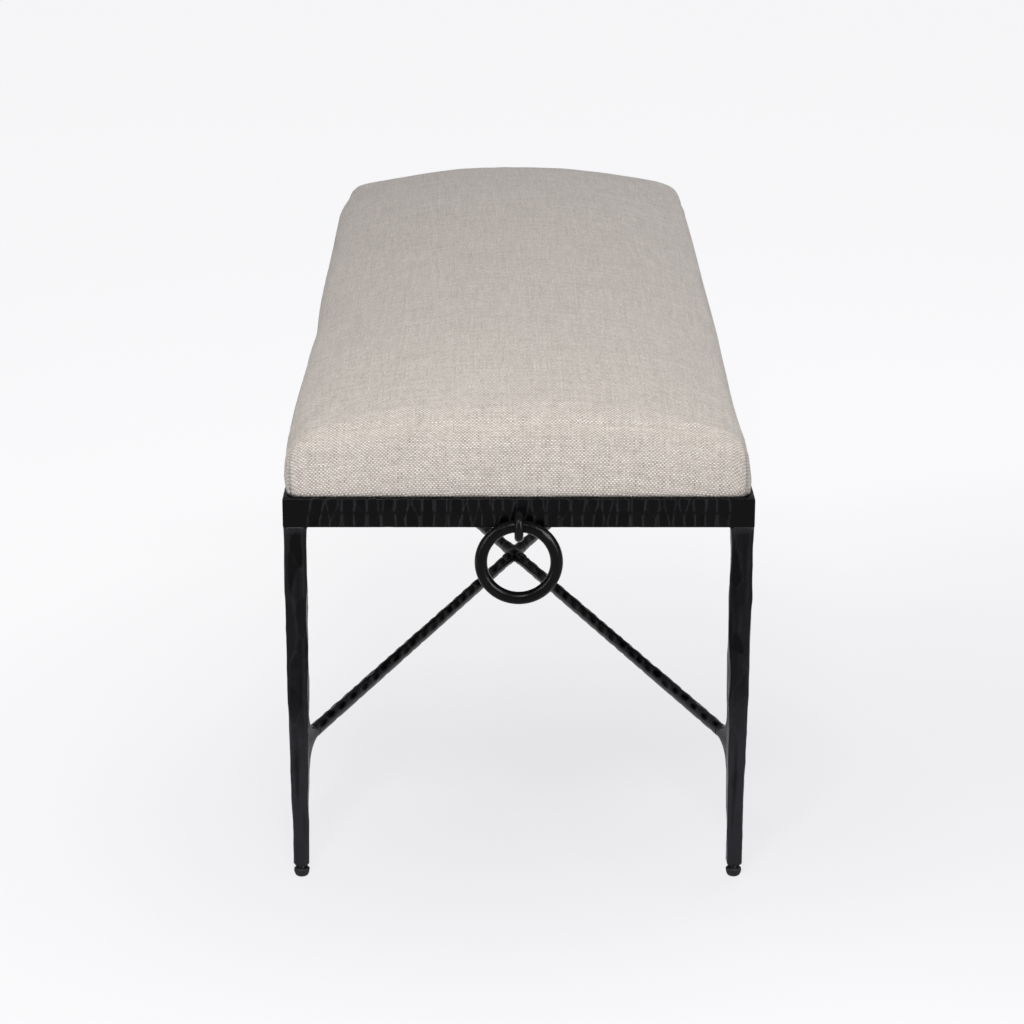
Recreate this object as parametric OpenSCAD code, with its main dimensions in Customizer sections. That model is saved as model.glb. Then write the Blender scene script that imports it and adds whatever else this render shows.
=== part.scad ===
// Entryway bench: a hand-forged iron frame with a flat X-stretcher, a hanging
// ring at each end and a crowned, linen-covered seat.
// Millimetres. The bench is long along Y, +Z is up, and the origin is on the
// floor under the centre of the seat. "Front" is the end towards -Y.

/* [Seat frame] */
// Length of the seat frame over its end aprons
frame_l = 1220; // [900:10:1600]
// Width of the seat frame over its side aprons
frame_w = 457; // [380:1:560]
// Height of the frame's top edge above the floor
rim_top = 401; // [330:1:490]
// Height of the flat bar in the frame
bar_h = 29; // [24:0.5:40]
// Thickness of the flat bar in the frame
bar_t = 12; // [10:0.5:15]

/* [Legs] */
// Width of the square leg under the frame
leg_w = 22; // [18:0.5:28]
// Width of the leg at the floor end
leg_end_w = 15; // [14:0.5:18]
// Length of untapered leg under the frame
leg_straight = 118; // [80:1:150]
// Bevel on the leg's four long edges
leg_bevel = 3.5; // [2:0.1:4]
// Radius of the weld fillets between leg and frame
weld_r = 5; // [3:0.5:8]

/* [Stretcher] */
// Height of the stretcher's centreline above the floor
stretcher_z = 142; // [110:1:180]
// Diameter of the stretcher's round bar
stretcher_d = 13; // [10:0.5:14]
// Radius of the flared knuckle where a bar meets a leg
knuckle_r = 28; // [18:1:34]
// Thickness of the weld webs at the crossing
hub_t = 9; // [6:0.5:10]
// Radius at the open end of each weld web
hub_r = 5; // [3:0.5:8]

/* [Rings] */
// Outside diameter of the hanging ring
ring_od = 86; // [70:1:104]
// Diameter of the ring's bar
ring_bar = 12.4; // [10:0.2:15]
// Gap between the hanging ring and the apron
ring_gap = 1.8; // [1:0.1:4]
// Height of the ring's pivot above the apron's lower edge
pivot_up = 3.8; // [2:0.1:5]
// Diameter of the staple's rod
staple_d = 8.8; // [7:0.1:10.6]
// Clearance between the ring's bar and the staple
ring_play = 0.6; // [0.4:0.1:1.5]

/* [Levelling feet] */
// Diameter of the foot pad
pad_d = 16; // [13:0.5:20]
// Height of the foot pad with its shoulder
pad_h = 9.6; // [8:0.1:12]
// Gap between the pad and the end of the leg
foot_gap = 3.2; // [2.6:0.1:6]
// Nominal diameter of the levelling stud
stud_d = 8; // [6:1:8]
// Wall of the threaded insert around the stud
insert_wall = 1.2; // [1:0.1:1.5]
// Length of the threaded insert
insert_l = 24; // [18:1:30]

/* [Seat] */
// Gap from the frame's outer face to the seat's widest line
seat_inset = 2.5; // [1:0.5:6]
// Height of the seat's crown above the frame
seat_h = 94; // [70:1:120]
// Height above the frame at which the seat is widest
seat_belly = 33; // [28:1:40]
// How far the seat's lower edge pulls in from its widest line
seat_tuck = 3.5; // [2:0.5:6]
// Radius of the seat's upright corners, seen from above
seat_corner = 20; // [12:1:40]
// Thickness of the plywood deck
deck_t = 18; // [12:1:22]
// Thickness of the seat cover with its lining
cover_t = 1.2; // [0.8:0.1:2]
// Width of the cover's turn-under below the deck
wrap_w = 40; // [25:1:60]
// Thickness of the dust cover
dust_t = 0.5; // [0.4:0.1:1]
// Width of a seat slat
slat_w = 30; // [20:1:50]
// Thickness of a seat slat
slat_t = 5; // [4:0.5:8]
// Distance from the bench's middle to an outer slat
slat_y = 400; // [250:5:420]
// Distance from the bench's middle to a seat screw, across the bench
screw_x = 130; // [60:1:150]
// Diameter of a seat screw's shank
screw_d = 4; // [3.5:0.5:5]
// Depth of a seat screw in the deck
screw_bite = 11; // [8:1:11]

/* [Hidden] */
$fn = 64;

IRON = [0.10, 0.10, 0.11];
ZINC = [0.62, 0.63, 0.65];
LINEN = [0.75, 0.70, 0.65];

rim_bottom = rim_top - bar_h;
run_fit = 0.05;          // radial clearance of a rod in its hole
small = 0.01;

// Legs stand flush with the frame's outer faces.
leg_x = frame_w / 2 - leg_w / 2;
leg_y = frame_l / 2 - leg_w / 2;
leg_bottom = pad_h + foot_gap;
leg_end_bevel = 1.5;
taper_top = rim_bottom - leg_straight;
taper_rate = (leg_w - leg_end_w) / 2 / (taper_top - leg_bottom);

// The stretcher's bars run from leg to leg across the centre.
diagonal = atan2(leg_x, leg_y);
bar_reach = norm([leg_x, leg_y]);
leg_half_at_bar = leg_end_w / 2 + taper_rate * (stretcher_z - leg_bottom);
leg_face = leg_half_at_bar / cos(diagonal);
knuckle_lip = 0.5;       // metal left at the thin end of a flare
knuckle_end = leg_face + knuckle_lip + knuckle_r;

// Ring and staple. The pivot is the centre of the ring's bar at its top.
pivot_out = ring_bar / 2 + ring_gap;
pivot_z = rim_bottom + pivot_up;
ring_r = (ring_od - ring_bar) / 2;
staple_r = ring_bar / 2 + staple_d / 2 + ring_play;
staple_bend = staple_d / 2 + 1.1;
rivet_d = staple_d + 5;
rivet_h = 3;

// Levelling feet
stud_fit = 0.05;         // radial running clearance in the insert's thread
insert_d = stud_d + 2 * insert_wall;
stud_seat = 3.5;         // height of the stud's lower end above the floor
stud_travel = 4;         // free thread above the insert, for winding the foot in
stud_top = leg_bottom + insert_l - 2;
pad_neck_d = stud_d + 1.6;

// Seat, from the frame's top edge upwards
deck_fit = 0.4;          // gap between the deck's edge and the cover
corner_growth = 0.55;    // how fast the corners round off towards the middle
seat_a = frame_w / 2 - seat_inset;
seat_b = frame_l / 2 - seat_inset;
deck_top = cover_t + deck_t;
crown_power = 3.55;
edge_power = 2.16;
slat_top = rim_top - dust_t;
screw_head_d = 2.2 * screw_d;
screw_head_h = 0.7 * screw_d;
screw_hole_d = screw_d + 0.8;
dust_gap = 4;            // from the dust cover's edge to the aprons
staple_pitch = 45;
staple_edge = 8;         // from the dust cover's edge to the staples
crown_l = 10;            // a dust cover staple's crown: length, width, height
crown_w = 1.2;
crown_h = 0.6;

// ---------- seat frame ----------

// One flat bar with mitred ends, its outer face on y = -depth / 2.
module apron(length, depth) {
    translate([0, -depth / 2, rim_bottom])
        linear_extrude(bar_h)
            polygon([[-length / 2, 0], [length / 2, 0], [length / 2 - bar_t, bar_t], [-length / 2 + bar_t, bar_t]]);
}

// An end apron is drilled for the ring staple's tenon.
module end_apron() {
    color(IRON) difference() {
        apron(frame_w, frame_l);
        translate([0, -frame_l / 2 - 1, pivot_z + staple_r])
            rotate([-90, 0, 0]) cylinder(h = bar_t + 2, d = staple_d + 2 * run_fit);
    }
}

module side_apron() {
    color(IRON) rotate([0, 0, 90]) apron(frame_l, frame_w);
}

// ---------- legs ----------

// A solid through a stack of outlines, the lowest first.
module loft(rings) {
    n = len(rings[0]);
    m = len(rings);
    polyhedron(
        points = [for (r = rings, p = r) p],
        faces = concat(
            [[for (i = [0:n - 1]) i]],
            [for (k = [0:m - 2], i = [0:n - 1])
                [k * n + i, (k + 1) * n + i, (k + 1) * n + (i + 1) % n, k * n + (i + 1) % n]],
            [[for (i = [0:n - 1]) m * n - 1 - i]]
        )
    );
}

// Outline of a bevelled square bar of half-width h at height z.
function bar_ring(h, z) = [
    for (turn = [0:90:270], p = [[h, h - leg_bevel], [h - leg_bevel, h]])
        [p.x * cos(turn) - p.y * sin(turn), p.x * sin(turn) + p.y * cos(turn), z]
];

// Straight under the frame, then tapered to a bevelled end.
module leg_bar() {
    loft([
        bar_ring(leg_end_w / 2 - leg_end_bevel, leg_bottom),
        bar_ring(leg_end_w / 2, leg_bottom + leg_end_bevel),
        bar_ring(leg_w / 2, taper_top),
        bar_ring(leg_w / 2, rim_bottom)
    ]);
}

module at_leg(side, end) {
    translate([side * leg_x, end * leg_y, 0]) children();
}

module leg(side, end) {
    color(IRON) at_leg(side, end) difference() {
        leg_bar();
        translate([0, 0, leg_bottom - small]) cylinder(h = insert_l + small, d = insert_d);
        translate([0, 0, leg_bottom]) cylinder(h = insert_l + stud_travel, d = stud_d + 2 * stud_fit);
    }
}

// Concave weld fillet under a bar, on the +X side of a face at x = 0. It
// runs from y = 0 towards -Y.
module weld_fillet(length) {
    rotate([90, 0, 0]) linear_extrude(length) difference() {
        translate([0, -weld_r]) square(weld_r);
        translate([weld_r, -weld_r]) circle(weld_r);
    }
}

// Two fillets at each leg, one under the end apron and one under the side.
module corner_welds() {
    weld_l = bar_t - leg_bevel;
    color(IRON) for (turn_x = [0, 1], turn_y = [0, 1])
        mirror([turn_x, 0, 0]) mirror([0, turn_y, 0]) {
            translate([leg_x - leg_w / 2, frame_l / 2 - leg_bevel, rim_bottom])
                mirror([1, 0, 0]) weld_fillet(weld_l);
            translate([frame_w / 2 - leg_bevel, leg_y - leg_w / 2, rim_bottom])
                mirror([1, -1, 0]) mirror([1, 0, 0]) weld_fillet(weld_l);
        }
}

// ---------- stretcher ----------

// Turns +X to point from the bench's centre to a leg, at stretcher height.
module towards_leg(side, end) {
    translate([0, 0, stretcher_z])
        rotate([0, 0, atan2(end * leg_y, side * leg_x)]) children();
}

module bar_along(from, to, d = stretcher_d) {
    translate([from, 0, 0]) rotate([0, 90, 0]) cylinder(h = to - from, d = d);
}

module through_bar() {
    color(IRON) towards_leg(1, 1)
        bar_along(knuckle_end - bar_reach, bar_reach - knuckle_end);
}

// A half bar is coped to sit against the through bar.
module half_bar(side, end) {
    color(IRON) difference() {
        towards_leg(side, end) bar_along(0, bar_reach - knuckle_end);
        towards_leg(1, 1) bar_along(-bar_reach / 4, bar_reach / 4, stretcher_d + 2 * run_fit);
    }
}

// A web in each narrow angle of the crossing, hollowed at its open end.
module hub_welds() {
    web_centre = (stretcher_d / 2 + hub_r) / sin(diagonal);
    web_end = web_centre - hub_r * sin(diagonal);
    color(IRON) for (end = [-1, 1]) difference() {
        translate([0, 0, stretcher_z - hub_t / 2]) linear_extrude(hub_t) difference() {
            polygon([[0, 0], [web_end * tan(diagonal), end * web_end], [-web_end * tan(diagonal), end * web_end]]);
            translate([0, end * web_centre]) circle(hub_r);
        }
        for (side = [-1, 1])
            towards_leg(side, 1) bar_along(-bar_reach / 4, bar_reach / 4, stretcher_d + 2 * run_fit);
    }
}

// The bar's end flares up and down in one long curve to meet the leg.
module knuckle(side, end) {
    flare_h = stretcher_d / 2 + knuckle_r;
    color(IRON) difference() {
        at_leg(side, end) rotate([0, 0, 180]) towards_leg(side, end) rotate([90, 0, 0])
            linear_extrude(stretcher_d, center = true) difference() {
                translate([0, -flare_h]) square([knuckle_end, 2 * flare_h]);
                for (up = [-1, 1]) translate([knuckle_end, up * flare_h]) circle(knuckle_r);
            }
        at_leg(side, end) leg_bar();
    }
}

// ---------- levelling feet ----------

module leg_insert(side, end) {
    color(ZINC) at_leg(side, end) translate([0, 0, leg_bottom]) difference() {
        cylinder(h = insert_l, d = insert_d);
        translate([0, 0, -1]) cylinder(h = insert_l + 2, d = stud_d + 2 * stud_fit);
    }
}

module foot_stud(side, end) {
    color(ZINC) at_leg(side, end) translate([0, 0, stud_seat]) cylinder(h = stud_top - stud_seat, d = stud_d);
}

// A turned glide: flat under, round at its lower edge, sloping to the neck.
module foot_pad(side, end) {
    edge_r = 3;
    color([0.13, 0.13, 0.13]) at_leg(side, end) rotate_extrude() difference() {
        union() {
            square([pad_d / 2 - edge_r, pad_h]);
            translate([0, edge_r]) square([pad_d / 2, pad_h - edge_r]);
            translate([pad_d / 2 - edge_r, edge_r]) intersection() {
                circle(edge_r);
                translate([0, -edge_r]) square(edge_r);
            }
        }
        translate([0, stud_seat]) square([stud_d / 2, pad_h]);
        polygon([[pad_neck_d / 2, pad_h], [pad_d / 2, pad_h - 1.8], [pad_d / 2 + 1, pad_h - 1.8], [pad_d / 2 + 1, pad_h + 1]]);
    }
}

// ---------- rings ----------

// Puts a piece drawn for the front end at the other end too.
module at_end(end) {
    rotate([0, 0, end > 0 ? 180 : 0]) translate([0, -frame_l / 2, 0]) children();
}

// A rod bent round the ring's bar: riveted through the apron at the top,
// turned up and welded under the apron at the bottom.
module ring_staple(end) {
    foot_y = staple_bend + 0.5;
    color(IRON) at_end(end) translate([0, 0, pivot_z]) {
        translate([0, -pivot_out, staple_r]) rotate([-90, 0, 0]) cylinder(h = pivot_out + bar_t, d = staple_d);
        translate([0, bar_t, staple_r]) rotate([-90, 0, 0]) cylinder(h = rivet_h, d1 = rivet_d, d2 = staple_d);
        translate([0, -pivot_out, 0]) rotate([0, -90, 180]) rotate_extrude(angle = 180)
            translate([staple_r, 0]) circle(d = staple_d);
        translate([0, -pivot_out, -staple_r]) rotate([-90, 0, 0])
            cylinder(h = pivot_out + foot_y - staple_bend, d = staple_d);
        translate([0, foot_y - staple_bend, staple_bend - staple_r]) rotate([0, 90, 0]) rotate_extrude(angle = 90)
            translate([staple_bend, 0]) circle(d = staple_d);
        translate([0, foot_y, staple_bend - staple_r])
            cylinder(h = staple_r - staple_bend - pivot_up, d = staple_d);
    }
}

module ring(end) {
    color(IRON) at_end(end) translate([0, -pivot_out, pivot_z - ring_r]) rotate([90, 0, 0])
        rotate_extrude() translate([ring_r, 0]) circle(d = ring_bar);
}

// ---------- seat ----------

module rounded_slab(a, b, r, h) {
    linear_extrude(h) {
        square([2 * a, 2 * (b - r)], center = true);
        square([2 * (a - r), 2 * b], center = true);
        for (sx = [-1, 1], sy = [-1, 1]) translate([sx * (a - r), sy * (b - r)]) circle(r);
    }
}

// Height above the frame of the seat's surface, a distance in from its edge.
function crown(inset, a, top) =
    seat_belly + (top - seat_belly) * pow(1 - pow(1 - inset / a, crown_power), 1 / edge_power);

function corner_radius(inset, a) = min(seat_corner + corner_growth * inset, a - inset - 1);

// One level of the seat's surface: a rectangle with rounded corners.
function seat_ring(a, b, r, z) = [
    for (corner = [0:3], step = [0:6])
        let (turn = 90 * corner + 15 * step,
             sx = corner == 0 || corner == 3 ? 1 : -1,
             sy = corner < 2 ? 1 : -1)
            [sx * (a - r) + r * cos(turn), sy * (b - r) + r * sin(turn), z]
];

// Side profile from the deck's edge round to the middle: [inset, height].
function seat_profile(a, top) = concat(
    [[seat_tuck, 0], [seat_tuck, deck_top], [seat_tuck * 0.3, (deck_top + seat_belly) / 2 + 1], [0, seat_belly]],
    [for (f = [0.004, 0.015, 0.035, 0.07, 0.12, 0.2, 0.3, 0.45, 0.62, 0.8, 0.95]) [f * a, crown(f * a, a, top)]]
);

// The crowned seat, smaller all round by skin.
module seat_form(skin) {
    a = seat_a - skin;
    b = seat_b - skin;
    profile = seat_profile(a, seat_h - skin);
    rings = [for (p = profile) seat_ring(a - p[0], b - p[0], corner_radius(p[0], a), p[1])];
    loft(rings);
}

module seat_deck() {
    shrink = seat_tuck + cover_t + deck_fit;
    color([0.72, 0.58, 0.40]) translate([0, 0, rim_top + cover_t]) difference() {
        rounded_slab(seat_a - shrink, seat_b - shrink, corner_radius(seat_tuck, seat_a) - deck_fit, deck_t);
        at_screws() translate([0, 0, -1]) cylinder(h = screw_bite + 1, d = screw_d);
    }
}

module seat_foam() {
    color([0.93, 0.90, 0.78]) translate([0, 0, rim_top]) intersection() {
        seat_form(cover_t);
        translate([0, 0, deck_top + seat_h]) cube([frame_w, frame_l, 2 * seat_h], center = true);
    }
}

module seat_cover() {
    opening_a = seat_a - seat_tuck - wrap_w;
    opening_b = seat_b - seat_tuck - wrap_w;
    color(LINEN) translate([0, 0, rim_top]) difference() {
        seat_form(0);
        intersection() {
            seat_form(cover_t);
            translate([0, 0, cover_t + seat_h]) cube([frame_w, frame_l, 2 * seat_h], center = true);
        }
        cube([2 * opening_a, 2 * opening_b, 4 * cover_t], center = true);
    }
}

// ---------- under the seat ----------

module at_screws() {
    for (x = [-screw_x, screw_x], y = [-slat_y, 0, slat_y]) translate([x, y, 0]) children();
}

module seat_slat(y) {
    color(IRON) difference() {
        translate([0, y, slat_top - slat_t / 2]) cube([frame_w - 2 * bar_t, slat_w, slat_t], center = true);
        translate([0, 0, slat_top - slat_t - 1]) at_screws() cylinder(h = slat_t + 2, d = screw_hole_d);
    }
}

module seat_screws() {
    color(ZINC) at_screws() translate([0, 0, slat_top - slat_t]) {
        translate([0, 0, -screw_head_h]) cylinder(h = screw_head_h, d1 = 0.7 * screw_head_d, d2 = screw_head_d);
        cylinder(h = slat_t + dust_t + cover_t + screw_bite, d = screw_d);
    }
}

dust_a = frame_w / 2 - bar_t - dust_gap;
dust_b = frame_l / 2 - bar_t - dust_gap;

module dust_cover() {
    color([0.16, 0.16, 0.17]) difference() {
        translate([0, 0, rim_top - dust_t / 2]) cube([2 * dust_a, 2 * dust_b, dust_t], center = true);
        translate([0, 0, rim_top - 2 * dust_t]) at_screws() cylinder(h = 3 * dust_t, d = screw_hole_d);
    }
}

// A row of staple crowns along one edge, left out where a slat crosses.
module staple_row(length, out, along_y) {
    count = floor((length - crown_l) / staple_pitch);
    for (i = [0:count], s = [-1, 1]) {
        run = (i - count / 2) * staple_pitch;
        clear = !along_y || min([for (y = [-slat_y, 0, slat_y]) abs(run - y)]) > slat_w / 2 + crown_l;
        if (clear)
            translate(along_y ? [s * out, run, 0] : [run, s * out, 0])
                cube(along_y ? [crown_w, crown_l, crown_h] : [crown_l, crown_w, crown_h], center = true);
    }
}

module dust_cover_staples() {
    color(ZINC) translate([0, 0, slat_top - crown_h / 2]) {
        staple_row(2 * (dust_b - 2 * staple_edge), dust_a - staple_edge, true);
        staple_row(2 * (dust_a - 2 * staple_edge), dust_b - staple_edge, false);
    }
}

// ---------- the nodes ----------

end_apron();  // end_apron_front
rotate([0, 0, 180]) end_apron();  // end_apron_back
mirror([1, 0, 0]) side_apron();  // side_apron_left
side_apron();  // side_apron_right
leg(-1, -1);  // leg_front_left
leg(1, -1);  // leg_front_right
leg(-1, 1);  // leg_back_left
leg(1, 1);  // leg_back_right
corner_welds();
through_bar();  // stretcher_through_bar
half_bar(1, -1);  // stretcher_half_bar_front
half_bar(-1, 1);  // stretcher_half_bar_back
hub_welds();  // stretcher_hub_welds
knuckle(-1, -1);  // knuckle_front_left
knuckle(1, -1);  // knuckle_front_right
knuckle(-1, 1);  // knuckle_back_left
knuckle(1, 1);  // knuckle_back_right
seat_slat(-slat_y);  // seat_slat_front
seat_slat(0);  // seat_slat_middle
seat_slat(slat_y);  // seat_slat_back
seat_screws();
seat_deck();
seat_foam();
seat_cover();
dust_cover();
dust_cover_staples();
leg_insert(-1, -1);  // leg_insert_front_left
leg_insert(1, -1);  // leg_insert_front_right
leg_insert(-1, 1);  // leg_insert_back_left
leg_insert(1, 1);  // leg_insert_back_right
foot_stud(-1, -1);  // foot_stud_front_left
foot_stud(1, -1);  // foot_stud_front_right
foot_stud(-1, 1);  // foot_stud_back_left
foot_stud(1, 1);  // foot_stud_back_right
foot_pad(-1, -1);  // foot_pad_front_left
foot_pad(1, -1);  // foot_pad_front_right
foot_pad(-1, 1);  // foot_pad_back_left
foot_pad(1, 1);  // foot_pad_back_right
ring_staple(-1);  // ring_staple_front
ring_staple(1);  // ring_staple_back
ring(-1);  // ring_front
ring(1);  // ring_back
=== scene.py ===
import math

import bmesh
import bpy
import numpy as np
from mathutils import Matrix, Vector


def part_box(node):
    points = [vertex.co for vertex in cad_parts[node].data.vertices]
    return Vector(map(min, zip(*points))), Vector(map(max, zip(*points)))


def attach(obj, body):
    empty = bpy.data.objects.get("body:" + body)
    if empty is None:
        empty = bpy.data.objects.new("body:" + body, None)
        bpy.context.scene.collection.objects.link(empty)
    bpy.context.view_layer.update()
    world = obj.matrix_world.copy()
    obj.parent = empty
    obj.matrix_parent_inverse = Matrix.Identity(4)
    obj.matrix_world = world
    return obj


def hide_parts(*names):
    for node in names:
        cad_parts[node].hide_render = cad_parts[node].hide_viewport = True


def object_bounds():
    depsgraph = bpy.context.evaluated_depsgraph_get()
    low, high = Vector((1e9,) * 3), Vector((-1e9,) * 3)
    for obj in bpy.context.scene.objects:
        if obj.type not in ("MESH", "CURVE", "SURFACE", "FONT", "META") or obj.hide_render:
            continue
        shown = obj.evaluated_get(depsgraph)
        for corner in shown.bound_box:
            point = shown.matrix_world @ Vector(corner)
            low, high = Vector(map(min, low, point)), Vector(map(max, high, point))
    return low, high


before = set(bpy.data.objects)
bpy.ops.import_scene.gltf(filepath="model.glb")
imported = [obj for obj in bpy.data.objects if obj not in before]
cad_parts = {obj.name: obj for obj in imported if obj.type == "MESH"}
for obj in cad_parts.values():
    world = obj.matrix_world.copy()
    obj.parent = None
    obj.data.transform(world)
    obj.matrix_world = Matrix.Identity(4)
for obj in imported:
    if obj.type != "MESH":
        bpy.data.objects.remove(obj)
cad_low, cad_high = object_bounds()

# ---- camera, floor and light ----
# A product stand: the bench seen from its front end, a little from above, on a
# plain pale floor, lit softly from above with a strip of shine from either side.
MM = 0.001
camera_data = bpy.data.cameras.new("camera")
camera_data.lens = 111.38
camera_data.sensor_width = 36.0
camera_data.clip_end = 100.0
camera = bpy.data.objects.new("camera", camera_data)
bpy.context.collection.objects.link(camera)
CAMERA_AWAY = 2.8987
CAMERA_UP = 1.3206
CAMERA_ASIDE = -0.0253
looks_down, looks_aside, leans = 17.7075, -0.3656, 0.1256
camera_turn = Matrix.Rotation(math.radians(looks_aside), 4, "Z")
camera_tilt = Matrix.Rotation(math.radians(90 - looks_down), 4, "X")
camera_roll = Matrix.Rotation(math.radians(leans), 4, "Z")
camera_place = Matrix.Translation((CAMERA_ASIDE, cad_low.y - CAMERA_AWAY, CAMERA_UP))
camera.matrix_world = camera_place @ camera_turn @ camera_tilt @ camera_roll
bpy.context.scene.camera = camera
bpy.context.scene.view_settings.view_transform = "Standard"


class Socket:
    """One value in a material's nodes. A sum written on it adds Math nodes."""

    def __init__(self, recipe, out):
        self.recipe = recipe
        self.out = out

    def maths(self, operation, *values):
        return self.recipe.node("Math", {"operation": operation}, dict(enumerate(values)))

    def __add__(self, other):
        return self.maths("ADD", self, other)

    def __sub__(self, other):
        return self.maths("SUBTRACT", self, other)

    def __rsub__(self, other):
        return self.maths("SUBTRACT", other, self)

    def __mul__(self, other):
        return self.maths("MULTIPLY", self, other)

    def __truediv__(self, other):
        return self.maths("DIVIDE", self, other)

    __radd__ = __add__
    __rmul__ = __mul__


class Finish:
    """A material for one of the bench's finishes, ending in a Principled shader."""

    def __init__(self, name):
        self.material = bpy.data.materials.new(name)
        self.material.use_nodes = True
        self.tree = self.material.node_tree
        self.shader = self.tree.nodes["Principled BSDF"]

    def feed(self, socket, value):
        if isinstance(value, Socket):
            self.tree.links.new(value.out, socket)
        else:
            socket.default_value = value

    def node(self, kind, settings=None, values=None, output=0):
        made = self.tree.nodes.new("ShaderNode" + kind)
        for name, value in (settings or {}).items():
            if name == "stops":
                stops = made.color_ramp.elements
                while len(stops) < len(value):
                    stops.new(1.0)
                for stop, (place, grey) in zip(stops, value):
                    stop.position = place
                    stop.color = (grey, grey, grey, 1)
            else:
                setattr(made, name, value)
        for name, value in (values or {}).items():
            self.feed(made.inputs[name], value)
        return Socket(self, made.outputs[output])

    def coordinates(self):
        """The piece's own Object coordinates, which are the node's fourth output."""
        return self.node("TexCoord", output=3)

    def stretched(self, place, scale):
        return self.node("Mapping", values={"Vector": place, "Scale": scale})

    def distance(self, shift):
        """How far a point is from the place that the shift brings to the origin."""
        values = {"Vector": self.coordinates(), "Location": shift}
        moved = self.node("Mapping", values=values)
        return self.node("VectorMath", {"operation": "LENGTH"}, {0: moved}, output=1)

    def noise(self, place, scale, detail=2.0, roughness=0.5):
        values = {"Vector": place, "Scale": scale, "Detail": detail, "Roughness": roughness}
        return self.node("TexNoise", values=values)

    def ramp(self, value, *stops):
        return self.node("ValToRGB", {"stops": stops}, {"Fac": value})

    def mix(self, share, first, second):
        colours = [(*c, 1) if isinstance(c, tuple) else c for c in (first, second)]
        values = {0: share, 6: colours[0], 7: colours[1]}
        return self.node("Mix", {"data_type": "RGBA"}, values, output=2)

    def bump(self, height, deep, under=None):
        values = {"Height": height, "Distance": deep, "Strength": 1.0}
        if under:
            values["Normal"] = under
        return self.node("Bump", values=values)

    def set(self, **values):
        for name, value in values.items():
            self.feed(self.shader.inputs[name.replace("_", " ")], value)
        return self.material


pale_floor = Finish("pale_floor")
floor_cloud = pale_floor.noise(pale_floor.coordinates(), 0.8)
floor_white = pale_floor.mix(floor_cloud, (0.115, 0.115, 0.118), (0.125, 0.125, 0.128))
# The stand glows evenly, with a painted shadow round the bench, where it would keep the light off.
from_bench = pale_floor.distance((0, 0.45, 0))
outside_painted_shadow = pale_floor.ramp(from_bench, (0.05, 0.0), (0.28, 0.32), (0.50, 0.68), (0.95, 1.0))
# A softer, wider painted shade lies to the right of the bench.
from_right = pale_floor.distance((-0.95, 0.10, 0))
painted_shade_right = pale_floor.ramp(from_right, (0.0, 1.0), (0.5, 0.65), (0.85, 0.2), (1.0, 0.0))
unshaded_share = outside_painted_shadow - painted_shade_right * 0.75
pale_floor.set(
    Base_Color=floor_white,
    Roughness=0.9,
    Specular_IOR_Level=0.0,
    Emission_Color=pale_floor.mix(unshaded_share, (0.738, 0.735, 0.760), (0.876, 0.876, 0.888)),
    Emission_Strength=1.0,
)

floor_mesh = bmesh.new()
bmesh.ops.create_circle(floor_mesh, cap_ends=True, segments=96, radius=30)
floor_data = bpy.data.meshes.new("floor")
floor_mesh.to_mesh(floor_data)
floor_data.materials.append(pale_floor.material)
floor = bpy.data.objects.new("floor", floor_data)
bpy.context.collection.objects.link(floor)

surround = bpy.data.worlds.new("surround")
surround.use_nodes = True
background = surround.node_tree.nodes["Background"]
background.inputs["Color"].default_value = (1, 1, 1, 1)
background.inputs["Strength"].default_value = 0.30
bpy.context.scene.world = surround


def soft_light(name, place, target, size, power, colour=(1, 1, 1), gloss_only=False):
    """A soft box that wide and that high, aimed at the target. A strip that is there for
    the shine on the iron only has its plain light held off."""
    light = bpy.data.lights.new(name, "AREA")
    light.shape = "RECTANGLE"
    light.size, light.size_y = size
    light.energy = power
    lamp = bpy.data.objects.new(name, light)
    lamp.location = place
    lamp.rotation_euler = (Vector(target) - Vector(place)).to_track_quat("-Z", "Y").to_euler()
    light.color = colour
    lamp.visible_camera = False
    lamp.visible_diffuse = not gloss_only
    bpy.context.collection.objects.link(lamp)


soft_light("key_light", (-0.2, -2.14, 2.3), (0, -0.5, 0.4), (0.8, 0.6), 46, (1, 0.962, 0.915))
soft_light("top_light", (1.0, 0.6, 2.8), (0, 0.1, 0.45), (1.2, 1.8), 19, (0.93, 0.965, 1.0))
soft_light("right_strip", (1.5, -1.9, 1.2), (0, -0.5, 0.3), (0.30, 1.6), 75, gloss_only=True)
soft_light("left_strip", (-1.7, -1.7, 1.2), (0, -0.5, 0.3), (0.22, 1.6), 40, gloss_only=True)


# ---- seat frame ----
# Four flat bars of black iron, mitred and welded flat side out. The smith draws each
# one out with a cross-peen hammer, in two staggered rows of upright blows.
def kept(name, bm, material, body, slot, *nodes):
    """Makes a finished bmesh a piece that rides on its body."""
    for face in bm.faces:
        face.smooth = True
    data = bpy.data.meshes.new(name)
    bm.to_mesh(data)
    bm.free()
    data.materials.append(material)
    piece = bpy.data.objects.new(name, data)
    bpy.context.collection.objects.link(piece)
    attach(piece, body)
    if nodes:
        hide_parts(*nodes)
    return piece


def flat_section(width, height, edge, pitch):
    """A rounded rectangle in the XY plane, its sides cut to the pitch."""
    bm = bmesh.new()
    size = Matrix.Diagonal((width, height, 1, 1))
    bmesh.ops.create_grid(bm, x_segments=1, y_segments=1, size=0.5, matrix=size)
    bmesh.ops.bevel(
        bm, geom=bm.verts[:], affect="VERTICES", offset=edge, segments=3, profile=0.5, material=-1
    )
    for side in [e for e in bm.edges if e.calc_length() > 2 * pitch]:
        cuts = round(side.calc_length() / pitch) - 1
        bmesh.ops.subdivide_edges(bm, edges=[side], cuts=cuts)
    return bm


def round_section(radius, sides):
    bm = bmesh.new()
    bmesh.ops.create_circle(bm, cap_ends=True, segments=sides, radius=radius)
    return bm


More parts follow.
